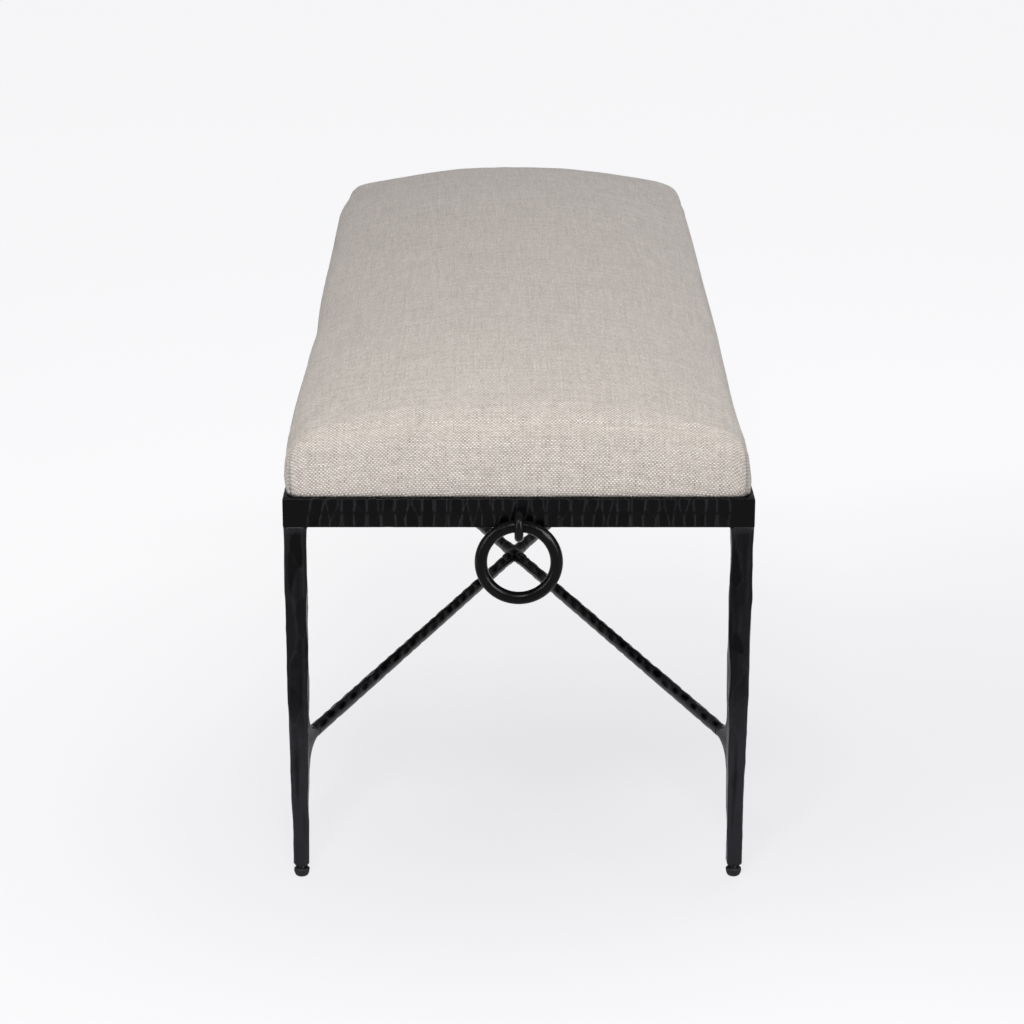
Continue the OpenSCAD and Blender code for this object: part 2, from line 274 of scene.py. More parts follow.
def drawn_out(bm, length, pitch):
    """Draws a section out along +Z into a bar, cut across at the pitch."""
    pulled = bmesh.ops.extrude_face_region(bm, geom=bm.faces[:])
    moved = [part for part in pulled["geom"] if isinstance(part, bmesh.types.BMVert)]
    bmesh.ops.translate(bm, verts=moved, vec=(0, 0, length))
    along = [e for e in bm.edges if abs(e.verts[0].co.z - e.verts[1].co.z) > length / 2]
    bmesh.ops.subdivide_edges(bm, edges=along, cuts=round(length / pitch) - 1)
    bmesh.ops.recalc_face_normals(bm, faces=bm.faces)
    return bm


def hollows(bm, points):
    """How far each point stands proud of its neighbours' mean, along its normal, in mm."""
    pairs = np.array([[v.index for v in e.verts] for e in bm.edges])
    count = np.bincount(pairs.ravel(), minlength=len(points))
    mean = np.empty_like(points)
    for axis in range(3):
        total = np.bincount(pairs[:, 0], points[pairs[:, 1], axis], len(points))
        total += np.bincount(pairs[:, 1], points[pairs[:, 0], axis], len(points))
        mean[:, axis] = total / count
    facing = np.array([v.normal for v in bm.verts])
    return ((points - mean) * facing).sum(1) / MM


def strike(bm, blows, random, plain=0.2, spread=0.2, dent_painted_shade=0.0, crest=0.8):
    """Beats the metal down under each blow: where it lands, the way it faces, its long
    axis, its radius along and across that axis, and its depth. Soft-edged between blows.
    Each blow leaves its own tone. The ridges between blows are rubbed lighter, partly as wear and
    partly as a painted highlight, and deeper dents can be painted darker as shade."""
    bm.verts.index_update()
    bm.normal_update()
    points = np.array([v.co for v in bm.verts])
    start = points.copy()
    before = hollows(bm, start)
    sheen = np.full(len(points), plain)
    soft = 0.05 * MM
    for place, facing, long_way, long_radius, cross_radius, deep in blows:
        away = points - place
        height = away @ facing
        along = away @ long_way
        across = away @ np.cross(facing, long_way)
        die = along**2 / (2 * long_radius) + across**2 / (2 * cross_radius) - deep
        proud = height - die
        hit = (proud > -6 * soft) & (abs(height) < 9 * MM)
        press = 0.5 * (proud[hit] + np.sqrt(proud[hit] ** 2 + soft**2))
        points[hit] -= press[:, None] * facing
        tone = plain + random.uniform(-spread, spread)
        share = np.clip(press / (2 * soft), 0, 1)
        sheen[hit] = sheen[hit] * (1 - share) + tone * share
    for vert, point in zip(bm.verts, points):
        vert.co = point
    bm.normal_update()
    # Ridges are lightened: partly wear, partly a painted highlight.
    ridge_wear_and_highlight = np.clip((hollows(bm, points) - before) / 0.07, 0, 1)
    beaten = np.linalg.norm(points - start, axis=1) / MM
    # Deeper dents are painted darker: painted shade in the hollows.
    sheen = sheen - dent_painted_shade * np.clip(beaten - 0.25, 0, 1) + crest * ridge_wear_and_highlight
    put_tone_and_painted_light(bm, sheen)


def put_tone_and_painted_light(bm, sheen):
    """Keeps how light each point of the iron is, from 0 to 1, on the mesh: its own tone with
    painted light and shade added.
    """
    layer = bm.verts.layers.float.get("sheen") or bm.verts.layers.float.new("sheen")
    values = np.broadcast_to(sheen, len(bm.verts))
    for vert, value in zip(bm.verts, values):
        vert[layer] = min(max(value, 0), 1)


def unit(x, y, z):
    vector = np.array((x, y, z), float)
    return vector / np.linalg.norm(vector)


def cross_peen_blows(random, length, depth, width):
    """Blows for a bar lying along Z, its faces on +-X depth apart and +-Y width apart."""
    blows = []
    for face in (-1, 1):
        for row, share in enumerate((-0.27, 0.27)):
            pitch = (13.6, 14.4)[row] * MM
            spot = 26 * MM + pitch * (0.5 * row + random.uniform(0, 0.2))
            while spot < length - 24 * MM:
                blows.append((
                    np.array((face * depth / 2, width * share + random.normal(0, 1.2) * MM, spot)),
                    unit(face, 0, random.normal(0, 0.05)),
                    unit(0, 1, random.normal(0, 0.06)),
                    random.uniform(180, 300) * MM,
                    random.uniform(19, 30) * MM,
                    random.uniform(0.50, 0.85) * MM,
                ))
                spot += pitch * random.uniform(0.74, 1.10)
    for face in (-1, 1):
        spot = 30 * MM
        while spot < length - 25 * MM:
            blows.append((
                np.array((random.normal(0, 2) * MM, face * width / 2, spot)),
                unit(0, face, random.normal(0, 0.03)),
                unit(0, 0, 1),
                random.uniform(90, 200) * MM,
                random.uniform(60, 120) * MM,
                random.uniform(0.1, 0.35) * MM,
            ))
            spot += random.uniform(16, 34) * MM
    return blows


def iron_finish(name, sheen=None):
    """Black scaled iron, waxed. Its lightness, the iron's own tone with painted light and shade in
    it, is one value, or is read from the mesh.
    """
    iron = Finish(name)
    place = iron.coordinates()
    cloud = iron.noise(place, 45, 3, 0.6)
    pits = iron.noise(place, 700, 3, 0.65)
    skin = iron.noise(place, 160, 4, 0.6)
    if sheen is None:
        sheen = iron.node("Attribute", {"attribute_name": "sheen"}, output=2)
    blotched_tone_and_light = cloud * sheen * 1.1 + sheen * 0.45
    iron.set(
        Base_Color=iron.mix(blotched_tone_and_light, (0.0004, 0.0004, 0.0006), (0.0200, 0.0190, 0.0235)),
        Roughness=0.17 + cloud * 0.14 + pits * 0.08,
        Specular_IOR_Level=0.085,
        Normal=iron.bump(pits, 0.00005, iron.bump(skin, 0.00024)),
    )
    return iron.material


black_iron = iron_finish("forged_iron")

frame_low, frame_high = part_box("end_apron_front")
bar_thick = frame_high.y - frame_low.y
bar_high = frame_high.z - frame_low.z
rim_top = frame_high.z
rim_bottom = frame_low.z
frame_wide = frame_high.x - frame_low.x
frame_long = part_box("end_apron_back")[1].y - frame_low.y


def forged_apron(name, length, across, turn, seed):
    random = np.random.default_rng(seed)
    proud = 0.35 * MM
    pitch = 1.1 * MM if length < 0.6 else 1.7 * MM
    bm = flat_section(bar_thick + 2 * proud, bar_high + proud, 1.3 * MM, pitch)
    drawn_out(bm, length, pitch)
    blows = cross_peen_blows(random, length, bar_thick + 2 * proud, bar_high + proud)
    strike(bm, blows, random, plain=0.04, spread=0.05, crest=1.3)
    sheen = bm.verts.layers.float["sheen"]
    # The lightened ridge lines, partly wear and partly painted highlight, fade out across the
    # middle of the bar between the two rows.
    for vert in bm.verts:
        ridge_wear_and_highlight = max(vert[sheen] - 0.1, 0)
        vert[sheen] -= ridge_wear_and_highlight * (1 - min(max(abs(vert.co.y) / MM - 0.5, 0) / 2.5, 1))
        inward = bar_thick / 2 + proud - vert.co.x
        share = vert.co.z / length * 2 - 1
        vert.co.z -= share * min(max(inward, 0), bar_thick)
    lie = Matrix.Translation((0, -across / 2 + bar_thick / 2, rim_top - bar_high / 2 - proud / 2))
    lie @= Matrix(((0, 0, 1, 0), (-1, 0, 0, 0), (0, 1, 0, 0), (0, 0, 0, 1)))
    lie @= Matrix.Translation((0, 0, -length / 2))
    bmesh.ops.transform(bm, matrix=Matrix.Rotation(turn, 4, "Z") @ lie, verts=bm.verts)
    bmesh.ops.recalc_face_normals(bm, faces=bm.faces)
    kept("forged_" + name, bm, black_iron, "frame", "forged_iron", name)


forged_apron("end_apron_front", frame_wide, frame_long, 0, 11)
forged_apron("end_apron_back", frame_wide, frame_long, math.pi, 12)
forged_apron("side_apron_left", frame_long, frame_wide, -math.pi / 2, 13)
forged_apron("side_apron_right", frame_long, frame_wide, math.pi / 2, 14)

# ---- legs ----
# Square iron bar, straight under the frame and drawn down to a taper below, its edges
# knocked off and its faces planished with long overlapping blows along the grain.
LEGS = {
    "front_left": (-1, -1),
    "front_right": (1, -1),
    "back_left": (-1, 1),
    "back_right": (1, 1),
}
leg_low, leg_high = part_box("leg_front_right")
leg_wide = leg_high.x - leg_low.x
leg_x = (leg_low.x + leg_high.x) / 2
leg_y = -(leg_low.y + leg_high.y) / 2
leg_end_wide = 15 * MM
taper_top = 254 * MM


def leg_half(z):
    """Half the leg's width at a height."""
    share = min(max((z - leg_low.z) / (taper_top - leg_low.z), 0), 1)
    return (leg_end_wide + share * (leg_wide - leg_end_wide)) / 2


def planishing_blows(random):
    blows = []
    for turn in range(8):
        flat = turn % 2 == 0
        spot = leg_low.z + random.uniform(4, 16) * MM
        while spot < leg_high.z - 12 * MM:
            angle = turn * math.pi / 4 + random.normal(0, 0.10)
            facing = unit(math.cos(angle), math.sin(angle), random.normal(0, 0.012))
            corner = 1.0 if flat else 1.24
            reach = leg_half(spot) * corner + 0.1 * MM
            sway = random.normal(0, 0.2) * leg_half(spot)
            side = np.array((-math.sin(angle), math.cos(angle), 0))
            place = facing * reach + side * sway
            place[2] = spot
            blows.append((
                place,
                facing,
                unit(side[0] * random.normal(0, 0.03), 0, 1),
                random.uniform(190, 420) * MM,
                random.uniform(26, 60) * MM,
                random.uniform(0.35, 0.75) * MM,
            ))
            spot += random.uniform(15, 27) * MM
    return blows


def streaks(random):
    """Long dark marks down the leg: which way they face, height, length and width."""
    marks = [(math.radians(-78), 0.325, 0.055, 0.16), (math.radians(-100), 0.10, 0.05, 0.14)]
    for _ in range(14):
        marks.append((
            random.uniform(-math.pi, math.pi),
            random.uniform(0.05, 0.35),
            random.uniform(0.02, 0.06),
            random.uniform(0.10, 0.22),
        ))
    return marks


for seed, (name, (side, end)) in enumerate(LEGS.items()):
    random = np.random.default_rng(30 + seed)
    marks = streaks(np.random.default_rng(60 + seed))
    proud = 0.45 * MM
    bm = flat_section(leg_wide + 2 * proud, leg_wide + 2 * proud, 3.4 * MM, 1.7 * MM)
    drawn_out(bm, leg_high.z - leg_low.z, 2.0 * MM)
    for vert in bm.verts:
        vert.co.z += leg_low.z
        drawn = (leg_half(vert.co.z) + proud) / (leg_wide / 2 + proud)
        drawn -= 0.14 * max(0, 1 - (vert.co.z - leg_low.z) / (1.8 * MM)) ** 2
        vert.co.x *= drawn
        vert.co.y *= drawn
    strike(bm, planishing_blows(random), random, plain=0.13, spread=0.24, crest=0.34)
    sheen = bm.verts.layers.float["sheen"]
    for vert in bm.verts:
        up = vert.co.z
        # Painted highlight: a lighter band at the leg's top, where the weld bead would catch the
        # light.
        weld = max(0, 1 - (leg_high.z - up) / (7 * MM))
        waist = 1 - 0.045 * math.exp(-(((leg_high.z - 16 * MM - up) / (14 * MM)) ** 2))
        vert.co.x *= waist
        vert.co.y *= waist
        # Painted light: the leg is painted lighter towards the floor.
        low = min(max((0.20 - up) / 0.12, 0), 1)
        leg_tone_and_light = vert[sheen] + 1.42 * low
        round_to = math.atan2(vert.co.y, vert.co.x)
        for faces, height, half_long, half_wide in marks:
            apart = math.remainder(round_to - faces, math.tau) / half_wide
            leg_tone_and_light *= 1 - 0.65 * math.exp(-(apart**2) - ((up - height) / half_long) ** 4)
        vert[sheen] = min(max(leg_tone_and_light + 0.7 * math.sqrt(weld), 0), 1)
    bmesh.ops.translate(bm, verts=bm.verts, vec=(side * leg_x, end * leg_y, 0))
    kept("forged_leg_" + name, bm, black_iron, "frame", "forged_iron", "leg_" + name)

# ---- corner welds ----
# Small weld fillets join the top of each leg to the seat frame. They keep their plain
# shape, in the same black iron with one even tone.
def finished(material, *names):
    """Puts a finish on parts that keep their own shape."""
    for name in names:
        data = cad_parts[name].data
        data.materials.clear()
        data.materials.append(material)


finished(iron_finish("forged_iron_welds", 0.5), "corner_welds")

# ---- stretcher ----
# Round iron bar crossing flat between the legs: one bar runs through, and two half bars
# are coped against it. A ball peen leaves a chain of oval dents along the top and sides.
bar_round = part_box("knuckle_front_right")
bar_z = (bar_round[0].z + bar_round[1].z) / 2
bar_radius = 6.5 * MM
bar_reach = math.hypot(leg_x, leg_y)
# Lays a bar that was drawn out along Z down along X, its Y side up.
LAID_DOWN = Matrix(((0, 0, 1, 0), (1, 0, 0, 0), (0, 1, 0, 0), (0, 0, 0, 1)))
bar_turn = math.atan2(leg_y, leg_x)
knuckle_end = 38.5 * MM


def ball_peen_blows(random, start, length):
    """Blows for a round bar along Z. Angle 90 degrees is the top of the laid bar."""
    blows = []
    rows = ((132, 1.3), (48, 1.3), (-48, 0.7), (228, 0.7))
    for row, (degrees, deep) in enumerate(rows):
        pitch = 26 * MM
        spot = start + 6 * MM + pitch * (0.5 * (row % 2) + random.uniform(0, 0.25))
        while spot < start + length - 4 * MM:
            angle = math.radians(degrees + random.normal(0, 8))
            facing = unit(math.cos(angle), math.sin(angle), random.normal(0, 0.04))
            place = facing * (bar_radius + 0.25 * MM)
            place[2] = spot
            size = random.uniform(0.85, 1.15)
            blows.append((
                place,
                facing,
                unit(0, 0, 1),
                random.uniform(38, 55) * MM,
                random.uniform(8, 14) * MM,
                deep * size * MM,
            ))
            spot += pitch * random.uniform(0.82, 1.2)
    return blows


def forged_bar(name, start, end, turn, seed):
    random = np.random.default_rng(seed)
    length = end - start
    bm = drawn_out(round_section(bar_radius + 0.25 * MM, 32), length, 1.5 * MM)
    bmesh.ops.translate(bm, verts=bm.verts, vec=(0, 0, start))
    blows = ball_peen_blows(random, start, length)
    # The deeper dents along the bars get painted shade.
    strike(bm, blows, random, plain=0.66, spread=0.10, dent_painted_shade=1.3, crest=0.5)
    place = Matrix.Translation((0, 0, bar_z)) @ Matrix.Rotation(turn, 4, "Z") @ LAID_DOWN
    bmesh.ops.transform(bm, matrix=place, verts=bm.verts)
    kept("forged_" + name, bm, black_iron, "frame", "forged_iron", name)


inside_knuckle = bar_reach - knuckle_end + 1 * MM
forged_bar("stretcher_through_bar", -inside_knuckle, inside_knuckle, bar_turn, 41)
forged_bar("stretcher_half_bar_front", 3 * MM, inside_knuckle, -bar_turn, 42)
forged_bar("stretcher_half_bar_back", 3 * MM, inside_knuckle, math.pi - bar_turn, 43)

# The middle of the crossing is forge welded and dressed smooth: the corners between the
# bars are filled to soft webs, a little thinner than the bars.
HUB_REACH = 25 * MM
HUB_DRESSED = 19 * MM
hub = bmesh.new()
for turn in (bar_turn, -bar_turn):
    arm = drawn_out(round_section(bar_radius + 0.7 * MM, 28), 2 * HUB_REACH, 2 * MM)
    place = Matrix.Translation((0, 0, bar_z)) @ Matrix.Rotation(turn, 4, "Z") @ LAID_DOWN
    place @= Matrix.Translation((0, 0, -HUB_REACH))
    bmesh.ops.transform(arm, matrix=place, verts=arm.verts)
    arm_data = bpy.data.meshes.new("hub_arm")
    arm.to_mesh(arm_data)
    arm.free()
    hub.from_mesh(arm_data)
hub_data = bpy.data.meshes.new("forged_hub")
hub.to_mesh(hub_data)
hub.free()
hub_piece = bpy.data.objects.new("forged_hub_core", hub_data)
bpy.context.collection.objects.link(hub_piece)


def set_in_place(piece):
    """Applies a piece's modifiers as they stand at this frame."""
    graph = bpy.context.evaluated_depsgraph_get()
    done = bpy.data.meshes.new_from_object(piece.evaluated_get(graph))
    piece.modifiers.clear()
    piece.data = done


remesh = hub_piece.modifiers.new("even", "REMESH")
remesh.mode = "VOXEL"
remesh.voxel_size = 1.1 * MM
set_in_place(hub_piece)
hub = bmesh.new()
hub.from_mesh(hub_piece.data)
bpy.data.objects.remove(hub_piece)
for _ in range(14):
    inner = [v for v in hub.verts if math.hypot(v.co.x, v.co.y) < HUB_DRESSED]
    bmesh.ops.smooth_vert(
        hub, verts=inner, factor=0.6, use_axis_x=True, use_axis_y=True, use_axis_z=True
    )
put_tone_and_painted_light(hub, 0.66)
kept("forged_hub", hub, black_iron, "frame", "forged_iron", "stretcher_hub_welds")

# ---- knuckles ----
# The end of each stretcher bar is upset and drawn out into a smooth flare, up and down,
# then forge welded to the leg's inner corner.
flare = 28 * MM
for name, (side, end) in LEGS.items():
    bm = drawn_out(round_section(bar_radius, 32), knuckle_end, 2 * MM)
    for vert in bm.verts:
        reach = knuckle_end - vert.co.z
        climb = flare - math.sqrt(max(flare**2 - reach**2, 0)) if reach < flare else flare
        lift = vert.co.y / bar_radius
        vert.co.y += math.copysign(climb, lift) if abs(lift) > 0.01 else 0
    put_tone_and_painted_light(bm, 0.62)
    turn = math.atan2(-end * leg_y, -side * leg_x)
    place = Matrix.Translation((side * leg_x, end * leg_y, bar_z))
    place @= Matrix.Rotation(turn, 4, "Z") @ LAID_DOWN
    bmesh.ops.transform(bm, matrix=place, verts=bm.verts)
    kept("forged_knuckle_" + name, bm, black_iron, "frame", "forged_iron", "knuckle_" + name)

# ---- seat ----
# A plywood deck screwed to the slats, foam cut to a crown, and one linen cover pulled
# down over it and tacked under the deck. It is stuffed tight, with no piping or buttons.
deck = Finish("plywood")
deck_place = deck.stretched(deck.coordinates(), (3, 60, 3))
deck_grain = deck.noise(deck_place, 4, 5, 0.6)
deck.set(
    Base_Color=deck.mix(deck_grain, (0.52, 0.36, 0.20), (0.70, 0.53, 0.33)),
    Roughness=0.6,
    Normal=deck.bump(deck_grain, 0.0003),
)
finished(deck.material, "seat_deck")

seat_low, seat_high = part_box("seat_cover")
seat_a = seat_high.x + 0.4 * MM
seat_b = seat_high.y + 0.9 * MM
seat_top = seat_high.z + 8.5 * MM
seat_edge = rim_top + 56.5 * MM
seat_foot = rim_top - 5 * MM
seat_corner = 17 * MM
SWELL_LIMIT = 14 * MM
CLOTH_FRAMES = 20
CROWN_POWER = 2.25
# Hand stuffing leaves the sides full in places and hollow in others: the side, how far
# along the seat, half the length of the place, and how far it stands out in millimetres.
STUFFING = (
    (-1, -0.47, 0.15, 4.4),
    (-1, -0.11, 0.09, -2.8),
    (-1, 0.30, 0.12, -0.8),
    (-1, 0.585, 0.06, -6.5),
    (1, -0.40, 0.13, -2.6),
    (1, -0.22, 0.08, -1.0),
    (1, 0.05, 0.14, -0.4),
    (1, 0.34, 0.16, 0.4),
)
# Shallow dimples in the top, along both long sides and at the two far corners: place,
# half width in metres and depth in millimetres.
DIMPLES = (
    (-0.178, 0.20, 0.045, 2.2),
    (-0.170, 0.02, 0.035, 1.6),
    (-0.196, -0.12, 0.030, 2.4),
    (-0.203, -0.26, 0.026, 2.0),
    (-0.150, 0.44, 0.050, 1.4),
    (0.180, -0.30, 0.050, 1.2),
    (0.186, 0.16, 0.060, 1.0),
    (-0.178, 0.590, 0.055, 5.0),
    (0.192, 0.590, 0.050, 2.8),
)


def rolled(inward, radius):
    """How far a rounded edge has dropped, that far in from the side."""
    gap = max(radius - inward, 0)
    return radius - math.sqrt(max(radius**2 - gap**2, 0))


def stuffed(x, y):
    """Height of the crowned top. It eases down towards both ends, then rolls over."""
    from_end = seat_b - abs(y)
    ease = 1 - 0.65 * math.exp(-from_end / 0.080)
    crown = (seat_top - seat_edge) * ease * (1 - abs(x / seat_a) ** CROWN_POWER)
    top = seat_edge + crown - rolled(from_end, 11 * MM) - rolled(seat_a - abs(x), 28 * MM)
    for near_x, near_y, wide, deep in DIMPLES:
        top -= deep * MM * math.exp(-((x - near_x) ** 2 + (y - near_y) ** 2) / (2 * wide**2))
    return top


seat = bmesh.new()
bmesh.ops.create_grid(seat, x_segments=72, y_segments=190, size=1)
rim_loop = [e for e in seat.edges if e.is_boundary]
for vert in seat.verts:
    x = math.sin(vert.co.x * math.pi / 2) * seat_a
    y = math.copysign(1 - (1 - abs(vert.co.y)) ** 1.7, vert.co.y) * seat_b
    vert.co = (x, y, stuffed(x, y))
# The sides are drawn down from the rim in rings, the lowest three tucked in a little.
RINGS = 7
for ring in range(RINGS):
    pulled = bmesh.ops.extrude_edge_only(seat, edges=rim_loop)["geom"]
    moved = [part for part in pulled if isinstance(part, bmesh.types.BMVert)]
    rim_loop = [part for part in pulled if isinstance(part, bmesh.types.BMEdge)]
    for vert in moved:
        vert.co.z += (seat_foot - vert.co.z) / (RINGS - ring)
    tuck = 0.5 * MM if ring > RINGS - 4 else 0
    bmesh.ops.scale(seat, verts=moved, vec=(1 - tuck / seat_a, 1 - tuck / seat_b, 1))
bmesh.ops.holes_fill(seat, edges=seat.edges, sides=0)
for vert in seat.verts:
    p = (abs(vert.co.x) - (seat_a - seat_corner)) / seat_corner
    q = (abs(vert.co.y) - (seat_b - seat_corner)) / seat_corner
    if p > 0 and q > 0:
        x = seat_a - seat_corner + seat_corner * p * math.sqrt(1 - min(q, 1) ** 2 / 2)
        y = seat_b - seat_corner + seat_corner * q * math.sqrt(1 - min(p, 1) ** 2 / 2)
        vert.co.x = math.copysign(x, vert.co.x)
        vert.co.y = math.copysign(y, vert.co.y)
    for side, middle, reach, out in STUFFING:
        share = max(side * vert.co.x / seat_a, 0) ** 3
        lift = min(max((vert.co.z - rim_top) / (25 * MM), 0), 1)
        bulge = math.exp(-(((vert.co.y - middle) / reach) ** 2))
        vert.co.x += side * out * MM * share * lift * bulge
bmesh.ops.recalc_face_normals(seat, faces=seat.faces)
seat_data = bpy.data.meshes.new("linen_seat")
seat.to_mesh(seat_data)
seat.free()
seat_piece = bpy.data.objects.new("linen_seat", seat_data)
bpy.context.collection.objects.link(seat_piece)


def points_of(piece):
    found = np.empty(len(piece.data.vertices) * 3)
    piece.data.vertices.foreach_get("co", found)
    return found.reshape(-1, 3)


def evened(piece, field, rounds):
    """Averages a value at each point with its neighbours'."""
    pairs = np.empty(len(piece.data.edges) * 2, np.int64)
    piece.data.edges.foreach_get("vertices", pairs)
    first, second = pairs.reshape(-1, 2).T
    count = np.bincount(pairs, minlength=len(field))[:, None] + 1
    for _ in range(rounds):
        total = field.copy()
        for axis in range(field.shape[1]):
            total[:, axis] += np.bincount(first, field[second, axis], len(field))
            total[:, axis] += np.bincount(second, field[first, axis], len(field))
        field = total / count
    return field


remesh = seat_piece.modifiers.new("even", "REMESH")
remesh.mode = "VOXEL"
remesh.voxel_size = 7 * MM
set_in_place(seat_piece)
start = evened(seat_piece, points_of(seat_piece), 1)
seat_piece.data.vertices.foreach_set("co", start.ravel())
tacked = seat_piece.vertex_groups.new(name="tacked")
tacks = [i for i, p in enumerate(start) if p[2] < rim_top + 4 * MM]
tacked.add(tacks, 1.0, "REPLACE")
cloth = seat_piece.modifiers.new("cloth", "CLOTH")
cloth.settings.use_pressure = True
cloth.settings.uniform_pressure_force = 4
cloth.settings.effector_weights.gravity = 0
cloth.settings.vertex_group_mass = "tacked"
cloth.settings.shrink_min = -0.012
cloth.collision_settings.use_collision = False
for step in range(1, CLOTH_FRAMES + 1):
    bpy.context.scene.frame_set(step)
set_in_place(seat_piece)
swell = points_of(seat_piece) - start
far = np.linalg.norm(swell, axis=1, keepdims=True)
swell *= np.minimum(1, SWELL_LIMIT / np.maximum(far, 1e-9))
broad = evened(seat_piece, swell, 24)
start = start + 0.5 * (swell - broad)
seat_piece.data.vertices.foreach_set("co", start.ravel())
finer = seat_piece.modifiers.new("finer", "SUBSURF")
finer.levels = 1
finer.render_levels = 1
set_in_place(seat_piece)

# The cover's weave follows the cloth over the crown and down the sides.
points = points_of(seat_piece)
points[:, 2] = np.maximum(points[:, 2], rim_top)
seat_piece.data.vertices.foreach_set("co", points.ravel())
from_side = seat_a - abs(points[:, 0])
from_end = seat_b - abs(points[:, 1])
over_side = np.clip((from_end - from_side) / (6 * MM) + 0.5, 0, 1)
over_side = over_side**2 * (3 - 2 * over_side)
over_crown = np.clip(abs(points[:, 0]) / seat_a, 0, 1) ** CROWN_POWER
end_crown = 0.35 * (seat_top - seat_edge) * (1 - over_crown)
side_fall = np.maximum(seat_edge - points[:, 2], 0)
end_fall = np.maximum(seat_edge + end_crown - points[:, 2], 0)
weft_way = np.sign(points[:, 0]) * (abs(points[:, 0]) + side_fall * over_side)
warp_way = np.sign(points[:, 1]) * (abs(points[:, 1]) + end_fall * (1 - over_side))
corners = np.empty(len(seat_piece.data.loops), np.int64)
seat_piece.data.loops.foreach_get("vertex_index", corners)
weave_map = seat_piece.data.uv_layers.new(name="weave")
weave_map.data.foreach_set("uv", np.stack([weft_way, warp_way], 1)[corners].ravel())
seat_piece.data.polygons.foreach_set("use_smooth", [True] * len(seat_piece.data.polygons))

linen = Finish("linen")
weave_place = linen.node("UVMap", {"uv_map": "weave"})
split = linen.node("SeparateXYZ", values={"Vector": weave_place})
wander = linen.noise(weave_place, 75, 2, 0.5)
drift = linen.noise(weave_place, 48, 2, 0.5)
across = Socket(linen, split.out.node.outputs["X"]) + wander * 0.0022
along = Socket(linen, split.out.node.outputs["Y"]) + drift * 0.0022
THREAD = 1.85 * MM
slub_across, slub_along, slub_half = 72 * MM, -138 * MM, 18 * MM
column = (across / THREAD).maths("FLOOR", across / THREAD)
row = (along / THREAD).maths("FLOOR", along / THREAD)
in_column = (across / THREAD) - column
in_row = (along / THREAD) - row
warp_round = linen.node("Math", {"operation": "SINE"}, {0: in_column * math.pi})
weft_round = linen.node("Math", {"operation": "SINE"}, {0: in_row * math.pi})
over = linen.node("Math", {"operation": "COSINE"}, {0: (column + row) * math.pi})
warp_height = warp_round * (over * weft_round * 0.5 + 0.5)
weft_height = weft_round * (0.5 - over * warp_round * 0.5)
weave_height = warp_height.maths("MAXIMUM", warp_height, weft_height)
warp_shows = linen.ramp(warp_height - weft_height + 0.5, (0.40, 0.0), (0.60, 1.0))


def yarn(thread, run, seed):
    """Light and dark stretches along one set of threads, each thread on its own."""
    place = linen.node("CombineXYZ", values={"X": thread * 3.17, "Y": run * 130.0, "Z": seed})
    slow = linen.node("CombineXYZ", values={"X": thread * 1.93, "Y": run * 14.0, "Z": seed + 4})
    streak = linen.noise(place, 1.0, 2, 0.6) * 0.62 + linen.noise(slow, 1.0, 1, 0.5) * 0.38
    return linen.ramp(streak, (0.32, 0.0), (0.68, 1.0))


warp_yarn = yarn(column, along, 1.0)
weft_yarn = yarn(row, across, 9.0)
warp_colour = linen.mix(warp_yarn, (0.285, 0.250, 0.226), (0.615, 0.567, 0.530))
weft_colour = linen.mix(weft_yarn, (0.535, 0.492, 0.462), (0.925, 0.872, 0.828))
cloth_colour = linen.mix(warp_shows, weft_colour, warp_colour)
# Painted shade: the gaps between the threads are coloured darker.
between = linen.ramp(weave_height, (0.0, 0.35), (0.55, 1.0))
gap_shade_blotch = linen.noise(linen.coordinates(), 9, 2, 0.5)
thread_gap_painted_shade = linen.mix(gap_shade_blotch, (0.235, 0.215, 0.20), (0.26, 0.225, 0.185))
woven = linen.mix(between, thread_gap_painted_shade, cloth_colour)
# One dark slub lies in the weft near the middle of the top.
slub_off = (along - slub_along) + (across - slub_across) * 0.06
slub_row = slub_off.maths("COMPARE", slub_off, 0.0, 0.45 * MM)
slub_run = across.maths("COMPARE", across, slub_across, slub_half)
linen.set(
    Base_Color=linen.mix(slub_row * slub_run * 0.75, woven, (0.10, 0.085, 0.075)),
    Roughness=0.92,
    Specular_IOR_Level=0.15,
    Sheen_Weight=0.12,
    Sheen_Roughness=0.5,
    Normal=linen.bump(weave_height + warp_yarn * 0.3 + weft_yarn * 0.3, 0.0003),
)
seat_piece.data.materials.clear()
seat_piece.data.materials.append(linen.material)
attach(seat_piece, "frame")
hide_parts("seat_cover", "seat_foam")

